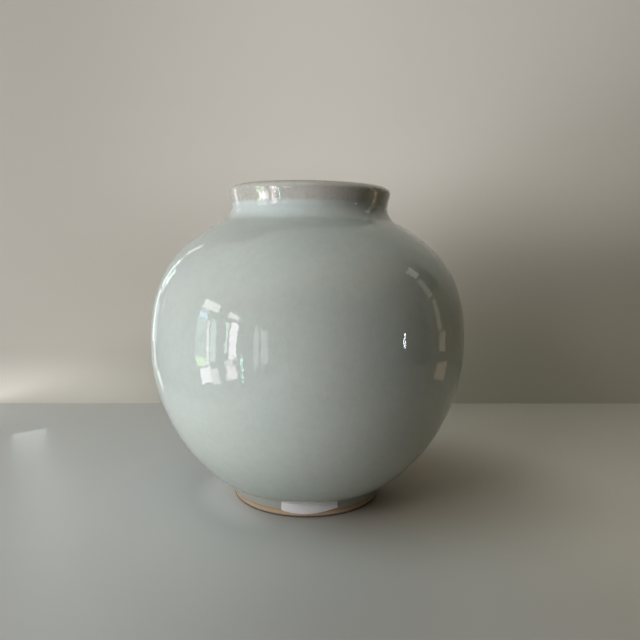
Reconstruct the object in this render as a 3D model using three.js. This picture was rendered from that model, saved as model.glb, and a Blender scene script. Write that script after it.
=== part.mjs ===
// A celadon vase: a round stoneware jar thrown as two bowls, with a foot ring under the base and a
// short collar on the shoulder, all luted together. A pale blue-green glaze covers it inside and
// out down to a band of bare clay at the foot, where a small blank paper sticker faces the front.
// Millimetres, +Z up. The origin is the centre of the foot on the table, and the front is -Y.
// Sizes are those of the fired clay. The glaze lies on top of them.

import * as THREE from "three";

const sides = 40; // facets round the vase

// Foot ring
const footRadius = 58; // its outside, at the table
const footTaperWidth = 1.2; // how much narrower it is at the crease
const footWidth = 10.8; // from its outside at the table to the recess
const footHeight = 10; // from the table to the seam under the base
const footBevel = 0.7; // turned edges of the face that it stands on
const bareHeight = 4.4; // bare clay above the table, outside
const recessBareHeight = 4; // bare clay above the table, inside

// Lower bowl
const creaseHeight = 2.4; // from the seam up to the crease, where the wall turns out
const baseThickness = 8; // floor of the vase at its centre
const floorReach = 44; // how far the floor runs level before it curves up
const floorBendReach = 18; // how gently its edge turns up into the wall
const creaseReach = 16.5; // how far the wall leaves the crease level
const underSwell = 64.5; // how far below the belly the outside begins to draw in

// Belly, where the two bowls meet
const bellyRadius = 122;
const bellyHeight = 123.4; // above the table
const wall = 5.5; // thickness of the thrown wall
const seamBevel = 4; // how far the seam drops from the outside to the inside

// Upper bowl
const overSwell = 54; // how far above the belly the wall begins to draw in
const upperHeight = 93.5; // from the belly up to the seam with the collar, outside
const shoulderRun = 40; // how straight the shoulder runs to the collar
const shoulderWidth = 7.5; // from the narrowest place of the neck out to the seam
const shoulderSlope = THREE.MathUtils.degToRad(28.5);

// Collar and lip
const neckRadius = 59.5; // the narrowest place outside
const neckHeight = 12.3; // from the seam up to it
const neckReach = 4.5; // how tightly the shoulder turns up into the collar
const collarFlare = 2.3; // from the neck's radius to the widest place, under the lip
const collarHeight = 15.4; // from the narrowest place up to the crown of the lip
const lipDrop = 4.4; // from the lip's crown down to the widest place
const lipReach = 8.2; // from the widest place in to the crown
const mouthReach = 1.6; // from the crown in to the wall of the mouth
const mouthDrop = 1.7; // height of that rounding
const throatReach = 9; // how gently the mouth opens into the body

// Glaze
const outerCoat = 0.9;
const lipCoat = 0.4; // the glaze runs thin on the lip
const innerCoat = 0.7;
const baseCoat = 0.8;
const glazePool = 0.8; // the fat run of glaze in the crease

// Sticker
const labelLength = 43; // round the foot
const labelHeight = 7.3; // at its left end
const labelTaper = 2.3; // how much shorter it is at its right end
const labelThickness = 0.2;
const labelGap = 0.2; // clearance to the glaze
const labelTurn = THREE.MathUtils.degToRad(3.8); // from the front, towards +X

// Steps in each stretch of the outline, and along the sticker
const wallSteps = 9;
const floorStep = 3; // the wall's step where the floor's curve runs into it
const floorSteps = 4;
const turnSteps = 3;
const labelSteps = 10;

// Levels above the table, and the radii that follow from the foot and the neck.
const creaseLevel = footHeight + creaseHeight;
const recessRadius = footRadius - footWidth;
const floorLevel = footHeight + baseThickness;

const shoulderRadius = neckRadius + shoulderWidth;
const shoulderLevel = bellyHeight + upperHeight;
const neckLevel = shoulderLevel + neckHeight;
const crownLevel = neckLevel + collarHeight;
const widestLevel = crownLevel - lipDrop;
const collarRadius = neckRadius + collarFlare;
const crownRadius = collarRadius - lipReach;
const mouthRadius = crownRadius - mouthReach;

const at = (r, z) => new THREE.Vector2(r, z);

// A point on the outside of the foot, or on a coat of glaze there.
const onFoot = (z, coat = 0) => at(footRadius - (footTaperWidth * z) / creaseLevel + coat, z);

// A point on from another, along a slope that climbs inwards.
const along = (point, run) =>
  at(point.x - run * Math.cos(shoulderSlope), point.y + run * Math.sin(shoulderSlope));

// The points of a curve with a glaze or a wall laid on its right-hand side, which is the outside
// of a curve that climbs. A depth below zero lies on the left.
function layer(curve, steps, depthAt) {
  return Array.from({ length: steps + 1 }, (_, i) => {
    const point = curve.getPoint(i / steps);
    const heading = curve.getTangent(i / steps);
    return point.add(at(heading.y, -heading.x).multiplyScalar(depthAt(point.y)));
  });
}

// The outside of the clay, from the crease up to the crown of the lip.
const crease = onFoot(creaseLevel);
const belly = at(bellyRadius, bellyHeight);
const shoulder = at(shoulderRadius, shoulderLevel);
const neck = at(neckRadius, neckLevel);
const collar = at(collarRadius, widestLevel);
const collarBend = (widestLevel - neckLevel) / 5; // short, so the collar flares evenly

const lowerWall = new THREE.CubicBezierCurve(
  crease,
  at(crease.x + creaseReach, creaseLevel),
  at(bellyRadius, bellyHeight - underSwell),
  belly,
);
const upperWall = new THREE.CubicBezierCurve(
  belly,
  at(bellyRadius, bellyHeight + overSwell),
  along(shoulder, -shoulderRun),
  shoulder,
);
const neckTurn = new THREE.CubicBezierCurve(
  shoulder,
  along(shoulder, neckReach),
  at(neckRadius, neckLevel - neckReach),
  neck,
);
const collarWall = new THREE.CubicBezierCurve(
  neck,
  at(neckRadius, neckLevel + collarBend),
  at(collarRadius, widestLevel - collarBend),
  collar,
);
const lip = new THREE.EllipseCurve(
  crownRadius, widestLevel, lipReach, lipDrop, 0, Math.PI / 2,
);

// The inside of the clay, from the middle of the floor up to the crown.
const innerShoulder = layer(upperWall, 1, () => -wall)[1];
const floorEdge = layer(lowerWall, wallSteps, () => -wall)[floorStep];
const floor = new THREE.CubicBezierCurve(
  at(0, floorLevel),
  at(floorReach, floorLevel),
  floorEdge.clone().addScaledVector(lowerWall.getTangent(floorStep / wallSteps), -floorBendReach),
  floorEdge,
);
const throat = new THREE.CubicBezierCurve(
  innerShoulder,
  along(innerShoulder, throatReach),
  at(mouthRadius, neckLevel - throatReach),
  at(mouthRadius, neckLevel),
);
const mouthLip = new THREE.EllipseCurve(
  crownRadius, crownLevel - mouthDrop, mouthReach, mouthDrop, Math.PI, Math.PI / 2, true,
);

// The glaze thins evenly from the neck to the crown.
const outerDepth = (z) =>
  THREE.MathUtils.mapLinear(Math.max(z, neckLevel), neckLevel, crownLevel, outerCoat, lipCoat);
const innerDepth = (z) =>
  -THREE.MathUtils.mapLinear(Math.max(z, neckLevel), neckLevel, crownLevel, innerCoat, lipCoat);
const bare = () => 0;

// The stretches of the outside and the inside, at the clay or at the depth of a glaze. Joined
// stretches share a point, which is listed once.
const joined = (...runs) => runs.flatMap((run, i) => (i ? run.slice(1) : run));
const lowerOutside = (depth) => layer(lowerWall, wallSteps, depth);
const upperOutside = (depth) => layer(upperWall, wallSteps, depth);
const collarOutside = (depth) =>
  joined(
    layer(neckTurn, turnSteps, depth),
    layer(collarWall, turnSteps - 1, depth),
    layer(lip, turnSteps, depth),
  );
const insideOf = (curve, depth) => layer(curve, wallSteps, (z) => depth(z) - wall);
const innerSeam = (depth) =>
  at(bellyRadius - wall + depth(bellyHeight), bellyHeight - seamBevel);
const lowerInside = (depth) => [
  ...joined(layer(floor, floorSteps, depth), insideOf(lowerWall, depth).slice(floorStep, -1)),
  innerSeam(depth),
];
const upperInside = (depth) => insideOf(upperWall, depth);
const collarInside = (depth) => [
  ...layer(throat, turnSteps, depth),
  ...layer(mouthLip, turnSteps - 1, depth),
];
const wholeOutside = (depth) =>
  joined(lowerOutside(depth), upperOutside(depth), collarOutside(depth));
const wholeInside = (depth) => [
  ...lowerInside(depth),
  ...joined(upperInside(depth), collarInside(depth)),
];

// Turns a closed outline about the vertical axis. Each facet is split from the same corner,
// whichever way its outline runs, so two pieces that meet share the same triangles.
function turned(name, outline, material) {
  const geometry = new THREE.LatheGeometry(outline, sides);
  const index = [];
  for (let side = 0; side < sides; side++) {
    for (let i = 0; i < outline.length - 1; i++) {
      const [from, to] = [outline[i], outline[i + 1]];
      const a = side * outline.length + i;
      const b = a + outline.length;
      const climbs = to.y > from.y || (to.y === from.y && to.x > from.x);
      if (climbs) index.push(a, b, a + 1, b + 1, a + 1, b);
      else index.push(a, b, b + 1, a, b + 1, a + 1);
    }
  }
  geometry.setIndex(index);
  geometry.rotateX(Math.PI / 2);
  const mesh = new THREE.Mesh(geometry, material);
  mesh.name = name;
  return mesh;
}

const clay = (colour) =>
  new THREE.MeshStandardMaterial({ color: colour, roughness: 0.8, metalness: 0 });
const glaze = (colour) =>
  new THREE.MeshStandardMaterial({ color: colour, roughness: 0.12, metalness: 0 });

function footRing() {
  const outline = [
    at(recessRadius + footBevel, 0),
    at(footRadius - footBevel, 0),
    onFoot(footBevel),
    onFoot(bareHeight),
    onFoot(footHeight),
    at(recessRadius, footHeight),
    at(recessRadius, recessBareHeight),
    at(recessRadius, footBevel),
  ];
  return turned("foot_ring", [...outline, outline[0]], clay(0xa8906f));
}

function lowerBowl() {
  const outline = [
    at(0, footHeight),
    at(recessRadius, footHeight),
    onFoot(footHeight),
    ...lowerOutside(bare),
    ...lowerInside(bare).reverse(),
  ];
  return turned("lower_bowl", outline, clay(0xb7a283));
}

function upperBowl() {
  const outline = [
    innerSeam(bare),
    ...upperOutside(bare),
    ...upperInside(bare).reverse(),
  ];
  return turned("upper_bowl", [...outline, outline[0]], clay(0xb7a283));
}

function neckCollar() {
  const outline = joined(collarOutside(bare), collarInside(bare).reverse());
  return turned("neck_collar", [...outline, outline[0]], clay(0xb7a283));
}

// The coat outside starts at the clay line with a rounded edge and fills the crease.
function outerGlaze() {
  const underside = creaseLevel - outerCoat;
  const outline = [
    onFoot(bareHeight),
    onFoot(bareHeight + outerCoat, outerCoat),
    onFoot(underside - glazePool, outerCoat),
    onFoot(underside, outerCoat + glazePool),
    ...wholeOutside(outerDepth).slice(1),
    ...wholeOutside(bare).reverse(),
    onFoot(footHeight),
  ];
  return turned("outer_glaze", [...outline, outline[0]], glaze(0xb9c4be));
}

function innerGlaze() {
  const outline = [...wholeInside(bare), ...wholeInside(innerDepth).reverse()];
  return turned("inner_glaze", outline, glaze(0xaebbb5));
}

function baseGlaze() {
  const outline = [
    at(0, footHeight - baseCoat),
    at(recessRadius - baseCoat, footHeight - baseCoat),
    at(recessRadius - baseCoat, recessBareHeight + baseCoat),
    at(recessRadius, recessBareHeight),
    at(recessRadius, footHeight),
    at(0, footHeight),
  ];
  return turned("base_glaze", outline, glaze(0xaebbb5));
}

// The sticker is bent round the front of the foot, just under the crease. Its lower edge slants.
function paperLabel() {
  const top = creaseLevel - outerCoat - glazePool - labelGap;
  const geometry = new THREE.BoxGeometry(
    labelLength, labelHeight, labelThickness, labelSteps, 1, 1,
  );
  geometry.translate(0, -labelHeight / 2, labelThickness / 2);
  const corners = geometry.getAttribute("position");
  for (let i = 0; i < corners.count; i++) {
    const [run, drop, lift] = [corners.getX(i), corners.getY(i), corners.getZ(i)];
    const fromLeft = (run + labelLength / 2) / labelLength;
    const height = labelHeight - labelTaper * fromLeft;
    const turn = labelTurn + run / (footRadius + outerCoat);
    const { x: r, y: z } = onFoot(top + (drop * height) / labelHeight, outerCoat + labelGap + lift);
    corners.setXYZ(i, r * Math.sin(turn), -r * Math.cos(turn), z);
  }
  geometry.computeVertexNormals();
  const paper = new THREE.MeshStandardMaterial({ color: 0xe6e4de, roughness: 0.9, metalness: 0 });
  const mesh = new THREE.Mesh(geometry, paper);
  mesh.name = "paper_label";
  return mesh;
}

const vase = new THREE.Group();
vase.add(footRing(), lowerBowl(), upperBowl(), neckCollar());
vase.add(outerGlaze(), innerGlaze(), baseGlaze(), paperLabel());

export default vase;
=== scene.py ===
"""The looks of a round celadon vase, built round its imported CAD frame.

Metres, +Z up, the front of the foot towards -Y. The turned pieces follow the same outline as
the solids, with far more facets, and each piece stands for the CAD node of its own name.
"""

import math

import bpy
import numpy as np
from mathutils import Euler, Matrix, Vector, noise


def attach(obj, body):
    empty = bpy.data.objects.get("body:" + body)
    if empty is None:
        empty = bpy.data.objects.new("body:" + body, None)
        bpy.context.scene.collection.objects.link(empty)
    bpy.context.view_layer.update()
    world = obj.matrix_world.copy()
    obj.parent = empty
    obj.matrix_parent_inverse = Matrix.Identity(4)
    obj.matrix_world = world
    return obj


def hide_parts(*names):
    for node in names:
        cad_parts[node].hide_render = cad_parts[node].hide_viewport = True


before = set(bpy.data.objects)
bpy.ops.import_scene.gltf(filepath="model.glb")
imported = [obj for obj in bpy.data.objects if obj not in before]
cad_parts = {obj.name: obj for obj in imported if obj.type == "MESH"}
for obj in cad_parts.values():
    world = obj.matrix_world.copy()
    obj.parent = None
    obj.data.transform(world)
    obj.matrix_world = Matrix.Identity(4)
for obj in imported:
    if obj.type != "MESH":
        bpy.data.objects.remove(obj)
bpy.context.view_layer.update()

MM = 0.001

# Foot ring
FOOT_RADIUS = 58 * MM
FOOT_TAPER = 1.2 * MM
RECESS_RADIUS = 47.2 * MM
FOOT_HEIGHT = 10 * MM
FOOT_BEVEL = 0.7 * MM
BARE_HEIGHT = 4.4 * MM
RECESS_BARE_HEIGHT = 4 * MM
CREASE_LEVEL = 12.4 * MM

# Bowls
FLOOR_LEVEL = 18 * MM
FLOOR_REACH = 44 * MM
FLOOR_BEND = 18 * MM
FLOOR_SHARE = 1 / 3
CREASE_REACH = 16.5 * MM
UNDER_SWELL = 64.5 * MM
BELLY_RADIUS = 122 * MM
BELLY_LEVEL = 123.4 * MM
WALL = 5.5 * MM
SEAM_BEVEL = 4 * MM
SEAM_MARGIN = 1 * MM
OVER_SWELL = 54 * MM
SHOULDER_RUN = 40 * MM
SHOULDER_RADIUS = 67 * MM
SHOULDER_LEVEL = 216.9 * MM
SHOULDER_SLOPE = math.radians(28.5)

# Collar and lip
NECK_RADIUS = 59.5 * MM
NECK_LEVEL = 229.2 * MM
NECK_REACH = 4.5 * MM
COLLAR_RADIUS = 61.8 * MM
WIDEST_LEVEL = 240.2 * MM
CROWN_RADIUS = 53.6 * MM
CROWN_LEVEL = 244.6 * MM
MOUTH_RADIUS = 52 * MM
MOUTH_DROP = 1.7 * MM
THROAT_REACH = 9 * MM

# Glaze
OUTER_COAT = 0.9 * MM
LIP_COAT = 0.4 * MM
INNER_COAT = 0.7 * MM
BASE_COAT = 0.8 * MM
GLAZE_POOL = 0.8 * MM
# The soft bead at the coat's lower edge: rise above the bare clay in mm, share of the coat
BEAD = ((0, 0), (0.04, 0.42), (0.28, 0.74), (0.62, 0.93), (1.1, 1))
# The waves of that edge: height in mm, waves in a turn, start
EDGE_WAVES = ((0.22, 3, 0.4), (0.16, 7, 2), (0.1, 12, 0))

# Sticker
LABEL_LENGTH = 43 * MM
LABEL_THICKNESS = 0.2 * MM
LABEL_GAP = 0.2 * MM
LABEL_TURN = math.radians(3.8)
LABEL_TOP = 11 * MM
# The cut lower edge: how far along the strip, as a share of its length, and its level in mm
LABEL_CUT = (
    (0, 0.02, 0.05, 0.2, 0.38, 0.53, 0.67, 0.81, 0.96, 1),
    (5.6, 4.9, 4.4, 3.6, 3.2, 3.45, 4.1, 5.0, 6.1, 6.6),
)
# How the paper lies: its ragged cut, its proud top edge and end, and how far it eases off
RAGGED_CUT = 0.06 * MM
RAG_LENGTH = 2.2 * MM
TOP_FLARE = 0.3 * MM
FLARE_HEIGHT = 0.6 * MM
END_CURL = 0.35 * MM
CURL_FROM = 0.93
PAPER_EASE = 0.05 * MM
EASE_SIZE = 6 * MM

# Hand of the potter: how far the wall wanders inwards, and the finger rings inside
WANDER = 0.35 * MM
# Each drift of the wall: its share, its waves in a turn, its start, its twist in a metre
DRIFTS = ((0.5, 2, 0.6, 11), (0.3, 3, -2.1, -17), (0.2, 5, 1.3, 31))
RIPPLE = 0.03 * MM
RIPPLE_SIZE = 24 * MM
RIPPLE_SQUASH = 1.6
FINGER_DEPTH = 0.35 * MM
FINGER_PITCH = 9.5 * MM

SIDES = 240  # facets round the coats of glaze and the foot
HIDDEN_SIDES = 120  # facets round the clay under the glaze
CRISP_CORNER = math.radians(38)  # edges that turn by more than this stay crisp
CRISP_PAPER = math.radians(50)
ON_AXIS = 1e-6 * MM  # a radius under this is none


# Outlines

def at(radius, level):
    return np.array([radius, level])


def on_foot(level, coat=0.0):
    """A point on the outside of the foot, or on a coat of glaze there."""
    return at(FOOT_RADIUS - FOOT_TAPER * level / CREASE_LEVEL + coat, level)


def climbing(point, run):
    """A point on from another, along the shoulder's slope, which climbs inwards."""
    return point + run * at(-math.cos(SHOULDER_SLOPE), math.sin(SHOULDER_SLOPE))


def swept(start, leave, arrive, end, steps, first=0.0):
    """Points and headings along a cubic curve, from a share of its length to its end."""
    t = np.linspace(first, 1, steps + 1)[:, None]
    s = 1 - t
    points = s**3 * start + 3 * s**2 * t * leave + 3 * s * t**2 * arrive + t**3 * end
    heads = s**2 * (leave - start) + 2 * s * t * (arrive - leave) + t**2 * (end - arrive)
    return points, heads / np.linalg.norm(heads, axis=1)[:, None]


def rounded(centre, reach, rise, start, stop, steps):
    """Points and headings on part of an ellipse, between two angles in degrees."""
    angle = np.radians(np.linspace(start, stop, steps + 1))
    turn = np.sign(stop - start)
    points = centre + np.stack([reach * np.cos(angle), rise * np.sin(angle)], 1)
    heads = turn * np.stack([-reach * np.sin(angle), rise * np.cos(angle)], 1)
    return points, heads / np.linalg.norm(heads, axis=1)[:, None]


def coated(stretch, depth_at):
    """The points of a stretch with a coat on its right, which is the outside as it climbs."""
    points, heads = stretch
    outwards = np.stack([heads[:, 1], -heads[:, 0]], 1)
    depths = np.array([depth_at(level) for level in points[:, 1]])
    return points + outwards * depths[:, None]


def joined(*runs):
    """Stretches end to end. A point that two of them share is kept once."""
    return np.vstack([run[1:] if i else run for i, run in enumerate(runs)])


crease = on_foot(CREASE_LEVEL)
belly = at(BELLY_RADIUS, BELLY_LEVEL)
shoulder = at(SHOULDER_RADIUS, SHOULDER_LEVEL)
neck = at(NECK_RADIUS, NECK_LEVEL)
collar = at(COLLAR_RADIUS, WIDEST_LEVEL)
collar_bend = at(0, (WIDEST_LEVEL - NECK_LEVEL) / 5)

lower_controls = (
    crease, crease + at(CREASE_REACH, 0), belly - at(0, UNDER_SWELL), belly,
)
upper_controls = (
    belly, belly + at(0, OVER_SWELL), climbing(shoulder, -SHOULDER_RUN), shoulder,
)
lower_wall = swept(*lower_controls, steps=48)
upper_wall = swept(*upper_controls, steps=48)
neck_turn = swept(
    shoulder, climbing(shoulder, NECK_REACH), neck - at(0, NECK_REACH), neck, steps=12,
)
collar_wall = swept(neck, neck + collar_bend, collar - collar_bend, collar, steps=10)
lip = rounded(
    at(CROWN_RADIUS, WIDEST_LEVEL), COLLAR_RADIUS - CROWN_RADIUS,
    CROWN_LEVEL - WIDEST_LEVEL, start=0, stop=90, steps=12,
)


def bare(level):
    return 0.0


def outer_depth(level):
    """The glaze outside thins over the lip's rounding, up to the crown."""
    return float(np.interp(level, [WIDEST_LEVEL, CROWN_LEVEL], [OUTER_COAT, LIP_COAT]))


def inner_depth(level):
    return -float(np.interp(level, [NECK_LEVEL, CROWN_LEVEL], [INNER_COAT, LIP_COAT]))


def within(depth_at):
    """The same depth, laid on the inside face of the wall."""
    return lambda level: depth_at(level) - WALL


inner_shoulder = coated(upper_wall, within(bare))[-1]
lower_inside = swept(*lower_controls, steps=30, first=FLOOR_SHARE)
floor_edge = coated(lower_inside, within(bare))[0]
floor = swept(
    at(0, FLOOR_LEVEL), at(FLOOR_REACH, FLOOR_LEVEL),
    floor_edge - FLOOR_BEND * lower_inside[1][0], floor_edge, steps=24,
)
throat = swept(
    inner_shoulder, climbing(inner_shoulder, THROAT_REACH),
    at(MOUTH_RADIUS, NECK_LEVEL - THROAT_REACH), at(MOUTH_RADIUS, NECK_LEVEL), steps=14,
)
mouth_lip = rounded(
    at(CROWN_RADIUS, CROWN_LEVEL - MOUTH_DROP), CROWN_RADIUS - MOUTH_RADIUS, MOUTH_DROP,
    start=180, stop=90, steps=8,
)


def collar_outside(depth_at):
    return joined(*(coated(run, depth_at) for run in (neck_turn, collar_wall, lip)))


def lower_bowl_inside(depth_at):
    seam_level = BELLY_LEVEL - SEAM_BEVEL
    wall = coated(lower_inside, within(depth_at))
    wall = wall[wall[:, 1] < seam_level - SEAM_MARGIN]
    seam = at(BELLY_RADIUS - WALL + depth_at(BELLY_LEVEL), seam_level)
    return np.vstack([joined(coated(floor, depth_at), wall), seam])


def collar_inside(depth_at):
    """Up the throat and the mouth to the crown, where the lip's inner rounding ends."""
    return np.vstack([coated(throat, depth_at), coated(mouth_lip, depth_at)])


def whole_outside(depth_at):
    return joined(
        coated(lower_wall, depth_at), coated(upper_wall, depth_at), collar_outside(depth_at),
    )


def whole_inside(depth_at):
    upper = joined(coated(upper_wall, within(depth_at)), collar_inside(depth_at))
    return np.vstack([lower_bowl_inside(depth_at), upper])


# Turned pieces

def thrown(radius, level, turn, inside):
    """A radius as the potter's hands left it. Outside, it is never past the true one."""
    fullness = (radius / BELLY_RADIUS) ** 2
    drift = sum(
        share * math.sin(waves * turn + start + twist * level)
        for share, waves, start, twist in DRIFTS
    )
    spot = Vector((math.cos(turn) * radius, math.sin(turn) * radius, level * RIPPLE_SQUASH))
    inwards = WANDER * (0.5 + 0.5 * drift) + RIPPLE * (1 + noise.noise(spot / RIPPLE_SIZE))
    if inside:
        rings = math.sin(2 * math.pi * level / FINGER_PITCH + turn)
        inwards -= FINGER_DEPTH * (0.5 + 0.5 * rings)
    return radius - fullness * inwards


def shaped(name, vertices, faces, crisp_from):
    """A new piece from its vertices and faces. Edges past an angle stay crisp."""
    mesh = bpy.data.meshes.new(name)
    mesh.from_pydata(vertices, [], faces)
    mesh.validate()
    mesh.shade_smooth()
    mesh.set_sharp_from_angle(angle=crisp_from)
    piece = bpy.data.objects.new(name, mesh)
    bpy.context.scene.collection.objects.link(piece)
    return piece


def turned(name, outline, sides, inside_from=None, edge_wave=None):
    """A closed outline turned about the vertical axis, as one mesh with no stray faces.

    Points from number inside_from on are on the inside of the vase. edge_wave(number, turn)
    moves a point along its wall, for the wandering edge of a coat of glaze.
    """
    count = len(outline)
    on_axis = [abs(r) < ON_AXIS for r, _ in outline]
    vertices, rows = [], []
    poles = {}
    for i in range(count):
        if on_axis[i]:
            poles[i] = len(vertices)
            vertices.append((0.0, 0.0, float(outline[i][1])))
    for side in range(sides):
        turn = 2 * math.pi * side / sides
        row = []
        for i, (r, level) in enumerate(outline):
            if on_axis[i]:
                row.append(poles[i])
                continue
            if edge_wave:
                level = level + edge_wave(i, turn)
            inside = inside_from is not None and i >= inside_from
            wide = thrown(r, level, turn, inside)
            row.append(len(vertices))
            vertices.append((wide * math.cos(turn), wide * math.sin(turn), float(level)))
        rows.append(row)
    faces = []
    open_ended = on_axis[0] and on_axis[-1]
    for side in range(sides):
        here, there = rows[side], rows[(side + 1) % sides]
        for i in range(count - 1 if open_ended else count):
            j = (i + 1) % count
            corners = [here[i], there[i], there[j], here[j]]
            face = [c for k, c in enumerate(corners) if c not in corners[:k]]
            if len(face) > 2:
                faces.append(face)
    return shaped(name, vertices, faces, CRISP_CORNER)


def foot_ring():
    """The bare ring, with its turned edges rounded over."""
    outer_edge = rounded(
        at(FOOT_RADIUS - FOOT_BEVEL, FOOT_BEVEL), FOOT_BEVEL, FOOT_BEVEL,
        start=-90, stop=0, steps=5,
    )[0]
    inner_edge = rounded(
        at(RECESS_RADIUS + FOOT_BEVEL, FOOT_BEVEL), FOOT_BEVEL, FOOT_BEVEL,
        start=180, stop=270, steps=5,
    )[0]
    outside = [on_foot(level * MM) for level in (1.4, 2.2, 3.0, 3.7, 4.4, 5.5, 7.5, 10)]
    recess = [at(RECESS_RADIUS, level * MM) for level in (10, 7, 4, 2.8, 1.6)]
    return np.vstack([outer_edge, outside, recess, inner_edge])


def lower_bowl():
    underside = [at(0, FOOT_HEIGHT), at(RECESS_RADIUS, FOOT_HEIGHT), on_foot(FOOT_HEIGHT)]
    outside = coated(lower_wall, bare)
    inside = lower_bowl_inside(bare)[::-1]
    return np.vstack([underside, outside, inside]), len(underside) + len(outside)


def upper_bowl():
    outside = coated(upper_wall, bare)
    inside = coated(upper_wall, within(bare))[::-1]
    seam = lower_bowl_inside(bare)[-1:]
    return np.vstack([outside, inside, seam]), len(outside)


def neck_collar():
    outside = collar_outside(bare)
    inside = collar_inside(bare)[::-1][1:]
    return np.vstack([outside, inside]), len(outside)


def outer_glaze():
    """The coat outside. Its lower edge is a soft bead on the clay, and it fills the crease."""
    bead = [on_foot(BARE_HEIGHT + rise * MM, OUTER_COAT * share) for rise, share in BEAD]
    underside = CREASE_LEVEL - OUTER_COAT
    wall = [on_foot(level * MM, OUTER_COAT) for level in (6.4, 7.6, 8.8, 9.8)]
    bend = GLAZE_POOL * 0.4
    hollow = swept(
        on_foot(underside - GLAZE_POOL, OUTER_COAT), on_foot(underside - bend, OUTER_COAT),
        on_foot(underside, OUTER_COAT + bend), on_foot(underside, OUTER_COAT + GLAZE_POOL),
        steps=6,
    )[0]
    skin = np.vstack([bead, wall, hollow, whole_outside(outer_depth)[1:]])
    clay_side = whole_outside(bare)[::-1]
    foot_side = [on_foot(level * MM) for level in (10, 8, 6)]
    return np.vstack([skin, clay_side, foot_side])


def inner_glaze():
    clay_side = whole_inside(bare)
    skin = whole_inside(inner_depth)[::-1]
    return np.vstack([clay_side, skin])


def base_glaze():
    """The coat in the recess, with a soft corner and a soft lower edge."""
    reach = RECESS_RADIUS - BASE_COAT
    ceiling = FOOT_HEIGHT - BASE_COAT
    bend = 2 * MM
    corner = rounded(
        at(reach - bend, ceiling - bend), bend, bend, start=90, stop=0, steps=6,
    )[0]
    ceiling_run = [at(r * MM, ceiling) for r in (0, 15, 30, 40)]
    edge = [
        at(reach, RECESS_BARE_HEIGHT + 1.0 * MM),
        at(reach + BASE_COAT * 0.3, RECESS_BARE_HEIGHT + 0.25 * MM),
        at(RECESS_RADIUS, RECESS_BARE_HEIGHT),
    ]
    clay_side = [at(RECESS_RADIUS, FOOT_HEIGHT), at(0, FOOT_HEIGHT)]
    return np.vstack([ceiling_run, corner, edge, clay_side])


def glaze_line(number, turn):
    """How far a point of the bead rides up or down with the coat's wandering lower edge."""
    still = len(BEAD) - 1
    if number >= still:
        return 0.0
    wave = sum(rise * math.sin(waves * turn + start) for rise, waves, start in EDGE_WAVES)
    return (1 - number / still) * MM * wave


# Sticker

def sticker():
    """A hand-cut strip of paper bent round the foot, a little proud at its top and one end."""
    across, down = 90, 16
    vertices, faces = [], []
    for lift in (0.0, LABEL_THICKNESS):
        for i in range(across + 1):
            share = i / across
            run = LABEL_LENGTH * share
            ragged = RAGGED_CUT * noise.noise(Vector((run / RAG_LENGTH, 0.0, 7.0)))
            low = float(np.interp(share, *LABEL_CUT)) * MM + ragged
            turn = LABEL_TURN + (run - LABEL_LENGTH / 2) / (FOOT_RADIUS + OUTER_COAT)
            for j in range(down + 1):
                level = LABEL_TOP + (low - LABEL_TOP) * j / down
                flare = TOP_FLARE * max(0.0, 1 - (LABEL_TOP - level) / FLARE_HEIGHT) ** 2
                at_end = max(0.0, (share - CURL_FROM) / (1 - CURL_FROM))
                curl = END_CURL * at_end ** 2 * (j / down) ** 2
                ease = PAPER_EASE * abs(noise.noise(Vector((run, level, 0.0)) / EASE_SIZE))
                proud = LABEL_GAP + lift + flare + curl + ease
                r = on_foot(level, OUTER_COAT + proud)[0]
                vertices.append((r * math.sin(turn), -r * math.cos(turn), level))
    layer = (across + 1) * (down + 1)

    def number(lift, i, j):
        return lift * layer + i * (down + 1) + j

    for i in range(across):
        for j in range(down):
            ring = [(i, j), (i, j + 1), (i + 1, j + 1), (i + 1, j)]
            faces.append([number(1, *c) for c in ring])
            faces.append([number(0, *c) for c in reversed(ring)])
    rim = (
        [(i, 0) for i in range(across)] + [(across, j) for j in range(down)]
        + [(i, down) for i in range(across, 0, -1)] + [(0, j) for j in range(down, 0, -1)]
    )
    for here, there in zip(rim, rim[1:] + rim[:1]):
        faces.append([
            number(0, *here), number(0, *there), number(1, *there), number(1, *here),
        ])
    return shaped("paper_label.sticker", vertices, faces, CRISP_PAPER)


# Node helpers

def tone(red, green, blue):
    """A colour as it shows on a screen, 0 to 255, as the linear numbers of a socket."""
    parts = [c / 255 for c in (red, green, blue)]
    linear = [c / 12.92 if c <= 0.04045 else ((c + 0.055) / 1.055) ** 2.4 for c in parts]
    return (*linear, 1.0)


def node(tree, kind, inputs=None, **settings):
    """Adds a node. Its inputs, by name or number, are plain values or sockets to link."""
    made = tree.nodes.new(kind)
    for name, value in settings.items():
        setattr(made, name, value)
    for key, value in (inputs or {}).items():
        if isinstance(value, bpy.types.NodeSocket):
            tree.links.new(value, made.inputs[key])
        else:
            made.inputs[key].default_value = value
    return made


def maths(tree, operation, *values):
    return node(tree, "ShaderNodeMath", dict(enumerate(values)), operation=operation).outputs[0]


def plus(tree, first, second):
    return maths(tree, "ADD", first, second)


def minus(tree, first, second):
    return maths(tree, "SUBTRACT", first, second)


def times(tree, first, second):
    return maths(tree, "MULTIPLY", first, second)


def divided(tree, first, second):
    return maths(tree, "DIVIDE", first, second)


def shifted(tree, vector, by):
    return node(tree, "ShaderNodeVectorMath", {0: vector, 1: by}, operation="ADD").outputs[0]


def scaled(tree, vector, share):
    grown = node(tree, "ShaderNodeVectorMath", {0: vector, "Scale": share}, operation="SCALE")
    return grown.outputs[0]


def measured(tree, operation, *vectors):
    """A number from vectors: a LENGTH, a DISTANCE or a DOT_PRODUCT."""
    taken = node(tree, "ShaderNodeVectorMath", dict(enumerate(vectors)), operation=operation)
    return taken.outputs["Value"]


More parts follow.
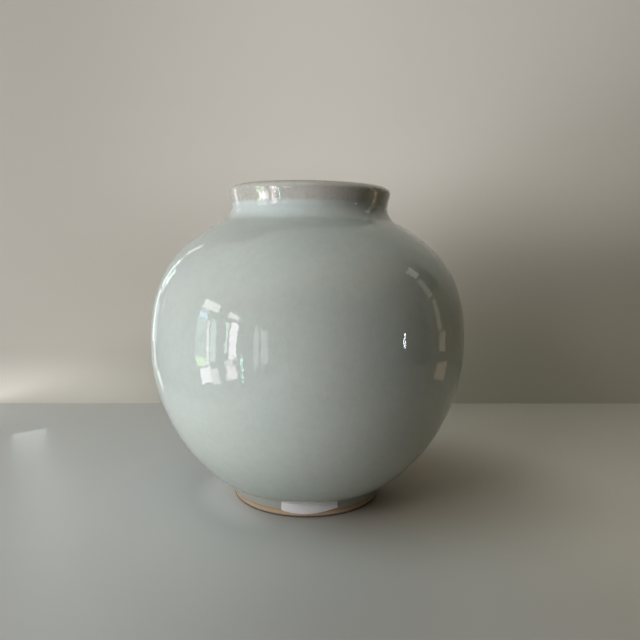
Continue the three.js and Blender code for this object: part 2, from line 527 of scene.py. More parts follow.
def cloud_noise(tree, position, scale, detail, roughness=0.5):
    return node(tree, "ShaderNodeTexNoise", {
        "Vector": position, "Scale": scale, "Detail": detail, "Roughness": roughness,
    })


def blend(tree, share, below, above, mode="MIX"):
    """One colour over another, by a mask."""
    mixed = node(
        tree, "ShaderNodeMix", {0: share, 6: below, 7: above},
        data_type="RGBA", blend_type=mode,
    )
    return mixed.outputs[2]


def tinted(tree, colour, mask, most, stain):
    """A colour with another mixed in by a mask, up to the most that it takes on."""
    return blend(tree, times(tree, mask, most), colour, stain)


def ranged(tree, value, low, high, to_low=0.0, to_high=1.0, smooth=True):
    mapped = node(
        tree, "ShaderNodeMapRange",
        {"Value": value, "From Min": low, "From Max": high, "To Min": to_low, "To Max": to_high},
        interpolation_type="SMOOTHSTEP" if smooth else "LINEAR",
    )
    return mapped.outputs["Result"]


def effect(name, inputs, outputs):
    """An empty node group with named inputs and outputs: (tree, its input node, its output)."""
    tree = bpy.data.node_groups.new(name, "ShaderNodeTree")
    for label, value in inputs.items():
        kind = "NodeSocketVector" if value is None else "NodeSocketFloat"
        socket = tree.interface.new_socket(label, in_out="INPUT", socket_type=kind)
        if value is not None:
            socket.default_value = value
    for label in outputs:
        tree.interface.new_socket(label, in_out="OUTPUT", socket_type="NodeSocketFloat")
    return tree, tree.nodes.new("NodeGroupInput"), tree.nodes.new("NodeGroupOutput")


def level_band():
    """A mask that is 1 between two levels, with soft and wandering edges."""
    tree, given, out = effect(
        "level_band",
        {"Position": None, "Low": 0.0, "High": 1.0, "Softness": 0.001, "Wander": 0.0,
         "Wander Size": 0.02},
        ["Mask"],
    )
    position, low, high = (given.outputs[label] for label in ("Position", "Low", "High"))
    soft = given.outputs["Softness"]
    cloud = cloud_noise(tree, position, divided(tree, 1.0, given.outputs["Wander Size"]), 2.0)
    shift = times(tree, minus(tree, cloud.outputs["Fac"], 0.5), given.outputs["Wander"])
    true_level = node(tree, "ShaderNodeSeparateXYZ", {0: position}).outputs["Z"]
    level = plus(tree, true_level, shift)
    rise = ranged(tree, level, minus(tree, low, soft), plus(tree, low, soft))
    fall = ranged(tree, level, minus(tree, high, soft), plus(tree, high, soft), 1.0, 0.0)
    tree.links.new(times(tree, rise, fall), out.inputs["Mask"])
    return tree


NOISE_SPREAD = 2.6  # the noise keeps near its middle, and this widens it to 0 to 1


def cloudiness():
    """A soft cloudy value between 0 and 1 that drifts at a size in metres."""
    tree, given, out = effect(
        "cloudiness", {"Position": None, "Size": 0.02, "Contrast": 1.0, "Shift": 0.0}, ["Cloud"],
    )
    moved = shifted(tree, given.outputs["Position"], given.outputs["Shift"])
    cloud = cloud_noise(tree, moved, divided(tree, 1.0, given.outputs["Size"]), 3.0, 0.55)
    centred = minus(tree, cloud.outputs["Fac"], 0.5)
    spread = times(tree, centred, times(tree, NOISE_SPREAD, given.outputs["Contrast"]))
    total = node(tree, "ShaderNodeMath", {0: spread, 1: 0.5}, operation="ADD", use_clamp=True)
    tree.links.new(total.outputs[0], out.inputs["Cloud"])
    return tree


def fine_craze():
    """The broken net of hairlines in a fitted glaze: cells with bent edges, kept in patches."""
    tree, given, out = effect(
        "fine_craze", {"Position": None, "Cell": 0.003, "Hairline": 0.00012}, ["Lines"],
    )
    position, cell = given.outputs["Position"], given.outputs["Cell"]
    scale = divided(tree, 1.0, cell)
    bend = cloud_noise(tree, position, times(tree, scale, 0.7), 1.0)
    away = shifted(tree, bend.outputs["Color"], (-0.5, -0.5, -0.5))
    bent = shifted(tree, position, scaled(tree, away, times(tree, cell, 1.4)))
    cells = node(tree, "ShaderNodeTexVoronoi", {"Vector": bent, "Scale": scale},
                 feature="DISTANCE_TO_EDGE")
    reach = divided(tree, given.outputs["Hairline"], cell)
    line = ranged(tree, cells.outputs["Distance"], 0.0, reach, 1.0, 0.0)
    patches = cloud_noise(tree, position, times(tree, scale, 0.32), 2.0)
    kept = ranged(tree, patches.outputs["Fac"], 0.38, 0.62, 0.15, 1.0)
    tree.links.new(times(tree, line, kept), out.inputs["Lines"])
    return tree


def specks():
    """Scattered specks, such as grog in clay, iron in glaze or fibre ends in paper."""
    tree, given, out = effect(
        "specks", {"Position": None, "Spacing": 0.004, "Size": 0.0003, "Share": 0.5}, ["Mask"],
    )
    spacing = given.outputs["Spacing"]
    cells = node(
        tree, "ShaderNodeTexVoronoi",
        {"Vector": given.outputs["Position"], "Scale": divided(tree, 1.0, spacing)}, feature="F1",
    )
    reach = divided(tree, given.outputs["Size"], spacing)
    core = times(tree, reach, 0.35)
    spot = ranged(tree, cells.outputs["Distance"], core, reach, 1.0, 0.0)
    lot = node(tree, "ShaderNodeSeparateColor", {0: cells.outputs["Color"]}).outputs[0]
    drawn = maths(tree, "LESS_THAN", lot, given.outputs["Share"])
    tree.links.new(times(tree, spot, drawn), out.inputs["Mask"])
    return tree


def turning_lines():
    """The fine rings that a turning tool or a finger leaves about the axis, as a height.

    The noise runs along the radius and the level. Round the vase it changes a fiftieth as fast.
    """
    tree, given, out = effect("turning_lines", {"Position": None, "Pitch": 0.0006}, ["Height"])
    parts = node(tree, "ShaderNodeSeparateXYZ", {0: given.outputs["Position"]}).outputs
    flat = node(tree, "ShaderNodeCombineXYZ", {0: parts["X"], 1: parts["Y"]}).outputs[0]
    lean = plus(tree, measured(tree, "LENGTH", flat), parts["Z"])
    steady = node(tree, "ShaderNodeSeparateXYZ", {0: scaled(tree, flat, 0.02)}).outputs
    spot = node(tree, "ShaderNodeCombineXYZ", {0: steady["X"], 1: steady["Y"], 2: lean}).outputs[0]
    rings = cloud_noise(tree, spot, divided(tree, 1.0, given.outputs["Pitch"]), 3.0, 0.6)
    tree.links.new(rings.outputs["Fac"], out.inputs["Height"])
    return tree


LEVEL_BAND = level_band()
CLOUDINESS = cloudiness()
FINE_CRAZE = fine_craze()
SPECKS = specks()
TURNING_LINES = turning_lines()


def place(tree, group, **inputs):
    """An effect in a material, by its input names with spaces for underscores."""
    named = {key.replace("_", " "): value for key, value in inputs.items()}
    return node(tree, "ShaderNodeGroup", named, node_tree=group).outputs[0]


def finish_named(name):
    """A new material: (material, its tree, its Principled node, the position on the vase)."""
    material = bpy.data.materials.new(name)
    material.use_nodes = True
    tree = material.node_tree
    shader = next(n for n in tree.nodes if n.type == "BSDF_PRINCIPLED")
    position = node(tree, "ShaderNodeTexCoord").outputs["Object"]
    return material, tree, shader, position


def raised(tree, shader, height, strength, distance):
    bump = node(tree, "ShaderNodeBump",
                {"Strength": strength, "Distance": distance, "Height": height})
    tree.links.new(bump.outputs["Normal"], shader.inputs["Normal"])


# Finishes

BELOW, ABOVE = -1.0, 1.0  # levels past both ends of the vase, for a band with one edge


def glaze_colour(tree, position, glaze, drift, thin, lines_seen, iron):
    """Cloudy, paler at the neck, darker on the foot as painted shade, and warm where the coat is
    thin.
    """
    broad = place(tree, CLOUDINESS, Position=position, Size=85 * MM, Contrast=0.9)
    colour = blend(tree, broad, glaze, drift)
    at_neck = place(
        tree, LEVEL_BAND, Position=position, Low=NECK_LEVEL - 7.7 * MM,
        High=NECK_LEVEL + 4.3 * MM, Softness=4 * MM, Wander=3 * MM, Wander_Size=30 * MM,
    )
    colour = tinted(tree, colour, at_neck, 0.85, tone(200, 207, 203))
    # Painted shade under the belly: the glaze is darker grey on the foot.
    foot_shade = place(
        tree, LEVEL_BAND, Position=position, Low=BELOW, High=CREASE_LEVEL + 1.1 * MM,
        Softness=1.5 * MM, Wander=1 * MM, Wander_Size=20 * MM,
    )
    colour = tinted(tree, colour, foot_shade, 0.9, tone(170, 172, 163))
    colour = blend(tree, thin, colour, tone(190, 187, 177))
    lip_line = place(
        tree, LEVEL_BAND, Position=position, Low=CROWN_LEVEL - 0.45 * MM, High=ABOVE,
        Softness=0.5 * MM, Wander=0.6 * MM, Wander_Size=9 * MM,
    )
    colour = tinted(tree, colour, lip_line, 0.6, tone(166, 142, 122))
    clay_line = place(
        tree, LEVEL_BAND, Position=position, Low=BELOW, High=BARE_HEIGHT + 1.3 * MM,
        Softness=0.9 * MM, Wander=0.8 * MM, Wander_Size=6 * MM,
    )
    colour = tinted(tree, colour, clay_line, 0.7, tone(182, 160, 130))
    colour = blend(tree, lines_seen, colour, tone(128, 122, 108))
    spots = place(tree, SPECKS, Position=position, Spacing=11 * MM, Size=0.32 * MM, Share=iron)
    colour = tinted(tree, colour, spots, 0.45, tone(120, 104, 84))
    grain = place(tree, CLOUDINESS, Position=position, Size=5.5 * MM, Contrast=0.8, Shift=3.0)
    depth = ranged(tree, grain, 0.0, 1.0, 0.965, 1.03, smooth=False)
    whole = node(tree, "ShaderNodeCombineColor", {0: depth, 1: depth, 2: depth}).outputs[0]
    return blend(tree, 1.0, colour, whole, mode="MULTIPLY")


def glaze_roughness(tree, position, thin, pitted, lines_seen):
    """Glossy, a little worn in places, and duller in the crazing and the pits of the thin coat."""
    worn = place(tree, CLOUDINESS, Position=position, Size=30 * MM, Contrast=1.0, Shift=9.0)
    rough = ranged(tree, worn, 0.0, 1.0, 0.018, 0.038, smooth=False)
    rough = plus(tree, rough, times(tree, lines_seen, 0.3))
    in_pits = ranged(tree, pitted, 0.4, 1.0, 0.0, 0.10)
    return plus(tree, rough, times(tree, thin, in_pits))


def glaze_relief(tree, position, thin, pitted, lines_seen):
    """A slow sway, a fine orange peel, sunk hairlines and the pits of the thin coat."""
    peel = place(tree, CLOUDINESS, Position=position, Size=3.2 * MM, Contrast=0.7, Shift=5.0)
    sway = place(tree, CLOUDINESS, Position=position, Size=16 * MM, Contrast=0.7, Shift=1.0)
    height = plus(tree, times(tree, peel, 0.16), sway)
    height = minus(tree, height, times(tree, lines_seen, 0.2))
    return plus(tree, height, times(tree, thin, times(tree, pitted, 0.25)))


def celadon(name, glaze, drift, thin_from, iron):
    """The glaze, which drifts between two tones and is thin, warm and pitted from a level up.

    Up to just under the crown the thin coat also shines more, in flakes. iron is the share of
    places that carry a speck.
    """
    material, tree, shader, position = finish_named(name)
    thin = place(tree, LEVEL_BAND, Position=position, Low=thin_from, High=ABOVE,
                 Softness=1.7 * MM, Wander=4 * MM, Wander_Size=30 * MM)
    pitted = place(tree, CLOUDINESS, Position=position, Size=2.2 * MM, Contrast=1.3, Shift=8.0)
    lines = place(tree, FINE_CRAZE, Position=position, Cell=3.2 * MM, Hairline=0.16 * MM)
    lines_seen = times(tree, lines, plus(tree, 0.1, times(tree, thin, 0.22)))
    colour = glaze_colour(tree, position, glaze, drift, thin, lines_seen, iron)
    tree.links.new(colour, shader.inputs["Base Color"])
    rough = glaze_roughness(tree, position, thin, pitted, lines_seen)
    tree.links.new(rough, shader.inputs["Roughness"])
    shader.inputs["IOR"].default_value = 1.5
    shiny = place(
        tree, LEVEL_BAND, Position=position, Low=thin_from, High=CROWN_LEVEL - 1.4 * MM,
        Softness=0.9 * MM, Wander=1 * MM, Wander_Size=12 * MM,
    )
    flakes = times(tree, shiny, ranged(tree, pitted, 0.3, 0.6, 0.1, 1.0))
    tree.links.new(flakes, shader.inputs["Coat Weight"])
    shader.inputs["Coat IOR"].default_value = 1.65
    shader.inputs["Coat Roughness"].default_value = 0.03
    relief = glaze_relief(tree, position, thin, pitted, lines_seen)
    raised(tree, shader, relief, strength=0.35, distance=0.22 * MM)
    return material


def bare_stoneware():
    """Unglazed buff clay: grog, turned lines, a flush under the glaze and a scorched edge with
    painted shade.
    """
    material, tree, shader, position = finish_named("bare_stoneware")
    cloud = place(tree, CLOUDINESS, Position=position, Size=12 * MM, Contrast=1.0)
    colour = blend(tree, cloud, tone(216, 196, 169), tone(203, 182, 153))
    fine = place(tree, CLOUDINESS, Position=position, Size=1.2 * MM, Contrast=1.0, Shift=4.0)
    colour = tinted(tree, colour, fine, 0.35, tone(160, 134, 108))
    flush = place(
        tree, LEVEL_BAND, Position=position, Low=BARE_HEIGHT - 1 * MM,
        High=BARE_HEIGHT + 0.4 * MM, Softness=0.7 * MM, Wander=0.9 * MM, Wander_Size=10 * MM,
    )
    colour = tinted(tree, colour, flush, 0.5, tone(192, 140, 96))
    # A scorched edge, darker still with painted contact shade where the foot meets the floor.
    scorch_and_contact_shade = place(tree, LEVEL_BAND, Position=position, Low=BELOW, High=2 * FOOT_BEVEL,
                   Softness=0.6 * MM, Wander=0.7 * MM, Wander_Size=12 * MM)
    colour = tinted(tree, colour, scorch_and_contact_shade, 0.9, tone(92, 66, 46))
    grog = place(tree, SPECKS, Position=position, Spacing=1.7 * MM, Size=0.28 * MM, Share=0.3)
    colour = tinted(tree, colour, grog, 0.5, tone(222, 206, 180))
    iron = place(tree, SPECKS, Position=position, Spacing=3.1 * MM, Size=0.26 * MM, Share=0.35)
    colour = tinted(tree, colour, iron, 0.6, tone(96, 70, 50))
    tree.links.new(colour, shader.inputs["Base Color"])
    rough = ranged(tree, fine, 0.0, 1.0, 0.72, 0.9, smooth=False)
    tree.links.new(rough, shader.inputs["Roughness"])
    rings = place(tree, TURNING_LINES, Position=position, Pitch=0.9 * MM)
    height = plus(tree, rings, times(tree, fine, 0.5))
    height = plus(tree, height, times(tree, grog, 0.5))
    raised(tree, shader, height, strength=0.6, distance=0.16 * MM)
    return material


def sticker_paper():
    """Blank white paper: fibres, a slight greyness and a soft tooth."""
    material, tree, shader, position = finish_named("sticker_paper")
    cloud = place(tree, CLOUDINESS, Position=position, Size=6 * MM, Contrast=0.9)
    colour = blend(tree, cloud, tone(250, 249, 249), tone(243, 242, 243))
    fibre = place(tree, CLOUDINESS, Position=position, Size=0.5 * MM, Contrast=1.0, Shift=2.0)
    colour = tinted(tree, colour, fibre, 0.25, tone(228, 226, 225))
    ends = place(tree, SPECKS, Position=position, Spacing=2.1 * MM, Size=0.13 * MM, Share=0.3)
    colour = tinted(tree, colour, ends, 0.35, tone(176, 170, 162))
    tree.links.new(colour, shader.inputs["Base Color"])
    rough = ranged(tree, fibre, 0.0, 1.0, 0.62, 0.8, smooth=False)
    tree.links.new(rough, shader.inputs["Roughness"])
    raised(tree, shader, fibre, strength=0.3, distance=0.06 * MM)
    return material


def seen_from_front(tree, shader):
    """Lets a stage surface vanish from behind, so that no view of the vase is blocked."""
    out = next(n for n in tree.nodes if n.type == "OUTPUT_MATERIAL")
    clear = node(tree, "ShaderNodeBsdfTransparent").outputs[0]
    behind = node(tree, "ShaderNodeNewGeometry").outputs["Backfacing"]
    mixed = node(tree, "ShaderNodeMixShader", {0: behind, 1: shader.outputs[0], 2: clear})
    tree.links.new(mixed.outputs[0], out.inputs["Surface"])


def stage_paint(name, rough, tones):
    """Plain paint for the floor or the backdrop, graded by where it is with painted light and
    shade.

    tones(tree, spot) gives the colour at a spot on the sheet, from its X, Y and Z.
    """
    material, tree, shader, position = finish_named(name)
    colour = tones(tree, node(tree, "ShaderNodeSeparateXYZ", {0: position}).outputs)
    cloud = place(tree, CLOUDINESS, Position=position, Size=120 * MM, Contrast=0.6)
    tree.links.new(tinted(tree, colour, cloud, 0.03, tone(120, 118, 112)),
                   shader.inputs["Base Color"])
    tooth = place(tree, CLOUDINESS, Position=position, Size=4 * MM, Contrast=0.8, Shift=6.0)
    tree.links.new(ranged(tree, tooth, 0.0, 1.0, rough, rough + 0.08, smooth=False),
                   shader.inputs["Roughness"])
    seen_from_front(tree, shader)
    return material


# Painted shade on the table, deepening the vase's own soft shade round this middle.
SHADE_MIDDLE = (98 * MM, 12 * MM, 0)  # of the vase's soft shade on the table
SHADE_CORE, SHADE_REACH = 30 * MM, 170 * MM
# Painted light round the foot, as light thrown onto the table by the glaze.
GLOW_CORE, GLOW_REACH = 66 * MM, 95 * MM  # the light round the foot, from the axis


def wall_tones(tree, spot):
    """Warm white: painted light by the table on the left and high up, painted shade low on the
    right.
    """
    # Painted light low by the table, on the left.
    light_by_table = ranged(tree, spot["Z"], 0.0, 0.07, 1.0, 0.0)
    far_left = ranged(tree, spot["X"], -0.28, -0.05, 1.0, 0.0)
    colour = blend(tree, times(tree, light_by_table, far_left),
                   tone(200, 194, 183), tone(240, 234, 223))
    # Painted light high up, towards the right.
    high = ranged(tree, spot["Z"], 0.14, 0.31)
    light_rightward = ranged(tree, spot["X"], -0.38, 0.08)
    colour = blend(tree, times(tree, high, light_rightward), colour, tone(248, 241, 230))
    # Painted shade low on the right.
    low = ranged(tree, spot["Z"], 0.12, 0.23, 1.0, 0.0)
    shade_far_right = ranged(tree, spot["X"], 0.03, 0.20)
    return blend(tree, times(tree, low, shade_far_right), colour, tone(197, 188, 174))


def table_tones(tree, spot):
    """Pale grey, with painted warm light to the right, painted shade in and round the vase's shade
    and nearer the front on the right, and a painted glow on the left, as light thrown by the
    glaze.

    Past the picture's front edge it carries painted shade on the right, dark like the unlit side
    of a room, and painted light on the left, but for bounced light alone: a camera that looks
    there sees the pale grey.
    """
    # Painted warm light towards the right.
    light_rightward = ranged(tree, spot["X"], -0.02, 0.26)
    colour = blend(tree, light_rightward, tone(210, 211, 209), tone(216, 208, 194))
    on_table = node(tree, "ShaderNodeCombineXYZ", {0: spot["X"], 1: spot["Y"]}).outputs[0]
    # Painted shade round the vase's soft shade.
    from_shade = measured(tree, "DISTANCE", on_table, SHADE_MIDDLE)
    painted_shade = ranged(tree, from_shade, SHADE_CORE, SHADE_REACH, 0.80, 0.0)
    colour = blend(tree, painted_shade, colour, tone(160, 154, 141))
    # Painted shade on the right, nearer the front.
    front_shade = ranged(tree, spot["Y"], -0.21, -0.08, 0.45, 0.0)
    right_half = ranged(tree, spot["X"], -0.12, 0.02)
    colour = blend(tree, times(tree, front_shade, right_half), colour, tone(168, 164, 156))
    # Out of view in front: painted shade on the right and painted light on the left, for bounced
    # light only.
    in_front = ranged(tree, spot["Y"], -0.250, -0.208, 1.0, 0.0)
    to_the_left = ranged(tree, spot["X"], -0.18, 0.04, 1.0, 0.0)
    bounce_shade_and_light = blend(tree, to_the_left, tone(58, 55, 50), tone(230, 231, 230))
    seen = node(tree, "ShaderNodeLightPath").outputs["Is Camera Ray"]
    bounced = minus(tree, 1.0, seen)
    colour = blend(tree, times(tree, in_front, bounced), colour, bounce_shade_and_light)
    # A painted glow round the foot on the left, as light thrown by the glaze.
    from_axis = measured(tree, "LENGTH", on_table)
    glow_beside = ranged(tree, from_axis, GLOW_CORE, GLOW_REACH, 1.0, 0.0)
    on_left = ranged(tree, spot["X"], -0.055, -0.012, 1.0, 0.0)
    return blend(tree, times(tree, glow_beside, on_left), colour, tone(248, 249, 248))


# The vase

coat_outside = celadon(
    "celadon_outside", tone(190, 199, 193), tone(192, 196, 188), thin_from=NECK_LEVEL + 2.2 * MM,
    iron=0.1,
)
coat_inside = celadon(
    "celadon_inside", tone(182, 193, 186), tone(186, 191, 182), thin_from=CROWN_LEVEL - 6.1 * MM,
    iron=0.1,
)
stoneware = bare_stoneware()
paper = sticker_paper()


def fitted(piece, node_name, material):
    """Gives a piece its finish, and lets it stand for its CAD node on the vase's one body."""
    piece.data.materials.append(material)
    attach(piece, "root")
    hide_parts(node_name)


bowl_outline, bowl_inside = lower_bowl()
dome_outline, dome_inside = upper_bowl()
collar_outline, collar_turns_in = neck_collar()
skin_inside = inner_glaze()

fitted(turned("foot_ring.turned", foot_ring(), SIDES), "foot_ring", stoneware)
fitted(turned("lower_bowl.thrown", bowl_outline, HIDDEN_SIDES, bowl_inside),
       "lower_bowl", stoneware)
fitted(turned("upper_bowl.thrown", dome_outline, HIDDEN_SIDES, dome_inside),
       "upper_bowl", stoneware)
fitted(turned("neck_collar.thrown", collar_outline, HIDDEN_SIDES, collar_turns_in),
       "neck_collar", stoneware)
fitted(turned("outer_glaze.coat", outer_glaze(), SIDES, edge_wave=glaze_line),
       "outer_glaze", coat_outside)
fitted(turned("inner_glaze.coat", skin_inside, SIDES, inside_from=0),
       "inner_glaze", coat_inside)
fitted(turned("base_glaze.coat", base_glaze(), SIDES), "base_glaze", coat_inside)
fitted(sticker(), "paper_label", paper)


# Floor and backdrop

def sheet_of(name, corners, material):
    mesh = bpy.data.meshes.new(name)
    mesh.from_pydata(corners, [], [tuple(range(len(corners)))])
    panel = bpy.data.objects.new(name, mesh)
    bpy.context.scene.collection.objects.link(panel)
    mesh.materials.append(material)


FLOOR_LEFT, FLOOR_RIGHT, FLOOR_FRONT = -0.40, 0.70, -0.83
# The floor's left edge follows the picture's, just out of view
LEFT_EDGE = ((-0.30, 0, 0), (-0.19, -0.20, 0), (-0.19, FLOOR_FRONT, 0))
# The wall is this far behind the vase's axis, and a little nearer on the left
WALL_DISTANCE = 0.2833
WALL_TURN = math.tan(math.radians(3.64))
BACKDROP_TOP = 0.9

left_end = (FLOOR_LEFT, WALL_DISTANCE + WALL_TURN * FLOOR_LEFT)
right_end = (FLOOR_RIGHT, WALL_DISTANCE + WALL_TURN * FLOOR_RIGHT)
sheet_of(
    "floor",
    [(FLOOR_RIGHT, FLOOR_FRONT, 0), (*right_end, 0), (*left_end, 0), *LEFT_EDGE],
    stage_paint("floor_paint", 0.38, table_tones),
)
sheet_of(
    "backdrop",
    [(*left_end, 0), (*right_end, 0), (*right_end, BACKDROP_TOP), (*left_end, BACKDROP_TOP)],
    stage_paint("backdrop_paint", 0.7, wall_tones),
)


# Light

WINDOW_WALL = -1.5  # the plane on the left that the tall soft lights stand in


def shining_panel(name, size, radiance, middle, facing):
    """A soft light of a size in metres. Its radiance is a linear colour, 1 for plain white."""
    strength = max(radiance)
    lamp = bpy.data.lights.new(name, "AREA")
    lamp.shape = "RECTANGLE"
    lamp.size, lamp.size_y = size
    lamp.energy = strength * math.pi * size[0] * size[1]
    lamp.color = [part / strength for part in radiance]
    holder = bpy.data.objects.new(name, lamp)
    holder.location = middle
    holder.rotation_euler = Vector(facing).to_track_quat("-Z", "Y").to_euler()
    bpy.context.scene.collection.objects.link(holder)
    return holder


def window_part(name, near, far, low, high, radiance):
    """One part of a window on the left, by how far forward and how high it reaches."""
    size = (far - near, high - low)
    middle = (WINDOW_WALL, -(near + far) / 2, (low + high) / 2)
    shining_panel(name, size, radiance, middle, (1, 0, 0))


def heading(azimuth, elevation):
    """A direction in degrees: azimuth 0 is the camera's side, -90 the left."""
    turn, rise = math.radians(azimuth), math.radians(elevation)
    return Vector((math.sin(turn) * math.cos(rise), -math.cos(turn) * math.cos(rise),
                   math.sin(rise)))


def aimed_panel(name, start, azimuth, elevation, reach, size, radiance):
    """A soft light seen from a point in a direction, and turned to face that point."""
    out = heading(azimuth, elevation)
    return shining_panel(name, size, radiance, Vector(start) + out * reach, -out)


def sky_lobe(tree, direction, azimuth, elevation, spread, radiance):
    """A soft patch of light in the world, round a direction in degrees, as a colour."""
    along = measured(tree, "DOT_PRODUCT", direction, heading(azimuth, elevation))
    edge = math.cos(math.radians(spread))
    return scaled(tree, radiance, ranged(tree, along, edge, 1.0))


def soft_sky(base, lobes, behind):
    """The world: soft light from high up and from behind, and a plain tone for the camera.

    Each lobe is an azimuth, an elevation, a spread in degrees and a radiance.
    """
    world = bpy.data.worlds.new("soft_sky")
    bpy.context.scene.world = world
    world.use_nodes = True
    tree = world.node_tree
    tree.nodes.clear()
    direction = node(tree, "ShaderNodeTexCoord").outputs["Generated"]
    light = node(tree, "ShaderNodeCombineXYZ", dict(enumerate(base))).outputs[0]
    for lobe in lobes:
        light = shifted(tree, light, sky_lobe(tree, direction, *lobe))
    shining = node(tree, "ShaderNodeBackground", {"Color": light, "Strength": 1.0}).outputs[0]
    plain = node(tree, "ShaderNodeBackground", {"Color": behind, "Strength": 1.0}).outputs[0]
    seen = node(tree, "ShaderNodeLightPath").outputs["Is Camera Ray"]
    mixed = node(tree, "ShaderNodeMixShader", {0: seen, 1: shining, 2: plain})
    node(tree, "ShaderNodeOutputWorld", {"Surface": mixed.outputs[0]})


soft_sky(
    base=(0.004, 0.004, 0.003),
    lobes=[
        (48, 61, 38, (0.28, 0.19, 0.09)),
        (-60, 62, 45, (0.45, 0.63, 0.68)),
        (-140, 35, 60, (0.36, 0.26, 0.27)),
    ],
    behind=tone(184, 180, 171),
)

FILL_DISTANCE = 2.0
CEILING_LEVEL = 1.7
CEILING_GLOW = (0.100, 0.092, 0.088)
SHEET_STEP = 10 * MM

# The fills light the vase and are not mirrored in it: azimuth, elevation, size and radiance.
for name, azimuth, elevation, size, radiance in (
        ("low_fill", -61, -17, (0.8, 0.8), (7.0, 7.0, 7.6)),
        ("front_fill", -43, 22, (0.8, 0.55), (6.4, 5.9, 5.9)),
        ("top_fill", 0, 55, (0.5, 0.5), (1.2, 1.2, 0.9))):
    fill = aimed_panel(
        name, (0, 0, BELLY_LEVEL), azimuth, elevation, FILL_DISTANCE, size, radiance,
    )
    fill.visible_glossy = False

# The ceiling is mirrored only. It is stacked from sheets, so that its edge fades away.
for number, reach in enumerate((1.6, 2.3, 3.0, 3.7, 4.6)):
    middle = (0.0, -0.2, CEILING_LEVEL + SHEET_STEP * number)
    ceiling = shining_panel(
        f"ceiling_{number}", (reach, reach), CEILING_GLOW, middle, (0, 0, -1),
    )
    ceiling.visible_diffuse = False

# The tall windows on the left, part by part: near, far, low and high edge, and radiance.
window_part("window_head", 0.33, 0.77, 0.54, 0.71, (5.6, 5.8, 5.4))
window_part("window_sky", 0.32, 0.54, 0.38, 0.47, (3.1, 5.3, 7.0))
window_part("window_sky_strip", 0.66, 0.78, 0.37, 0.42, (2.4, 4.4, 5.4))
window_part("window_blind", 0.36, 0.56, 0.49, 0.53, (3.0, 2.7, 2.3))
window_part("window_far_trees", 0.30, 0.55, 0.17, 0.37, (2.1, 2.8, 3.0))
window_part("window_dim_pane", 0.30, 0.55, -0.09, 0.17, (1.4, 1.7, 1.7))
window_part("window_post", 0.565, 0.625, -0.20, 0.37, (6.3, 6.1, 6.0))
window_part("window_pane", 0.66, 0.795, -0.15, 0.37, (2.9, 4.0, 3.6))
window_part("window_green", 0.30, 0.55, -0.20, -0.09, (3.9, 5.6, 2.7))
window_part("window_ground", 0.38, 0.66, -0.47, -0.22, (7.0, 6.8, 7.2))
window_part("window_path", 0.66, 0.85, -0.51, -0.26, (4.4, 4.0, 4.3))
window_part("curtain_head", 1.06, 1.43, 0.53, 0.67, (6.2, 6.3, 6.1))
window_part("curtain", 1.17, 1.436, -0.14, 0.47, (9.6, 8.7, 9.4))
window_part("curtain_side", 1.04, 1.12, -0.05, 0.42, (4.6, 5.9, 5.3))
window_part("curtain_green", 1.05, 1.33, -0.225, -0.145, (5.0, 5.0, 4.3))
window_part("curtain_foot", 1.06, 1.42, -0.48, -0.23, (7.0, 6.2, 6.7))
window_part("slim_light", 1.585, 1.63, -0.66, -0.08, (6.0, 12.0, 11.5))
window_part("far_pane_left", 2.12, 2.41, -0.37, 0.61, (2.3, 2.4, 2.4))
window_part("far_pane_right", 2.56, 3.12, -0.38, 0.60, (2.3, 2.4, 2.4))

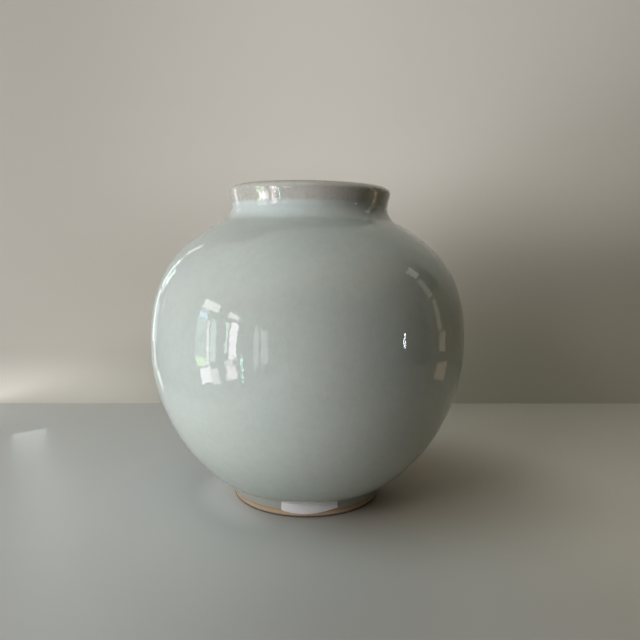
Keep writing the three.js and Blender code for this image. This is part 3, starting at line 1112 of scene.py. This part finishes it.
# The bright lines down the left limb and the collar, and the dull glow and gleams down the
# right limb, are mirrored lights only. Each is aimed from the place on the glaze that shows
# it: that place in mm, azimuth, elevation, distance, size and radiance.
for name, start, azimuth, elevation, reach, size, radiance in (
        ("limb_line", (-110, -51, 142), -144.3, -1, 0.3, (0.026, 0.100), (1.35, 1.6, 1.6)),
        ("limb_upper", (-96, -58, 176), -135.6, 12.5, 0.3, (0.022, 0.050), (1.7, 2.1, 2.0)),
        ("limb_turn", (-92, -54, 187), -141.5, 18, 0.3, (0.020, 0.022), (0.95, 1.0, 0.95)),
        ("limb_top", (-80, -60, 195), -143, 25.5, 0.3, (0.018, 0.058), (1.4, 1.45, 1.4)),
        ("limb_lower", (-103, -62, 98), -137.5, -17.5, 0.3, (0.034, 0.060), (0.90, 1.05, 1.0)),
        ("limb_glow", (-106, -58, 145), -137.5, -3, 0.3, (0.045, 0.078), (0.46, 0.57, 0.59)),
        ("limb_join", (-101, -56, 170), -138, 7.5, 0.3, (0.022, 0.045), (1.1, 1.3, 1.3)),
        ("limb_low_join", (-110, -56, 122), -141.5, -10.5, 0.3, (0.028, 0.048), (0.8, 0.92, 0.85)),
        ("collar_line", (-55, -28, 234), -133, 0, 0.3, (0.022, 0.085), (1.5, 1.7, 1.7)),
        ("limb_inner", (-100, -63, 155), -127, 4, 0.3, (0.016, 0.045), (0.45, 0.46, 0.43)),
        ("right_room", (90, -80, 145), 108, 3, 1.4, (0.75, 0.80), (0.19, 0.16, 0.11)),
        ("right_patch", (71, -83, 184), 107, 35, 1.2, (0.16, 0.17), (1.0, 1.0, 0.95)),
        ("right_slope", (83, -80, 171), 104, 23, 1.2, (0.12, 0.28), (0.62, 0.58, 0.45)),
        ("right_edge", (90, -80, 155), 106, 7, 1.2, (0.11, 0.34), (0.54, 0.44, 0.31)),
        ("right_low", (93, -80, 137), 109, -4.5, 1.2, (0.18, 0.15), (0.58, 0.46, 0.33)),
        ("right_foot", (90, -83, 112), 110, -13.5, 0.3, (0.080, 0.048), (0.52, 0.38, 0.26))):
    gleam = aimed_panel(name, Vector(start) * MM, azimuth, elevation, reach, size, radiance)
    gleam.visible_diffuse = False

# The recess under the foot is open only to the floor, so it has a small light of its own.
shining_panel("recess_light", (0.08, 0.08), (0.5, 0.5, 0.48), (0, 0, 0.3 * MM), (0, 0, 1))

# The small sparkle on the right is a narrow light, mirrored only.
spark_place = Vector((90, -80, 140)) * MM
spark = aimed_panel("spark", spark_place, 70.5, 0, 2.3, (0.05, 0.27), (24, 25, 28))
spark.visible_diffuse = False


# Camera

SENSOR_WIDTH = 36.0
PHOTO_LENS = SENSOR_WIDTH  # the lens is as long as the picture is wide
CAMERA_PLACE = (9.26 * MM, -509.8 * MM, 200.7 * MM)
CAMERA_PITCH = math.radians(6.765)
CAMERA_ROLL = math.radians(0.9)

camera = bpy.data.objects.new("camera", bpy.data.cameras.new("camera"))
camera.data.sensor_width = SENSOR_WIDTH
camera.data.lens = PHOTO_LENS
camera.location = CAMERA_PLACE
aim = Euler((math.radians(90) - CAMERA_PITCH, 0, 0)).to_matrix()
camera.rotation_euler = (aim @ Euler((0, 0, CAMERA_ROLL)).to_matrix()).to_euler()
bpy.context.scene.collection.objects.link(camera)
bpy.context.scene.camera = camera
bpy.context.scene.view_settings.view_transform = "Standard"
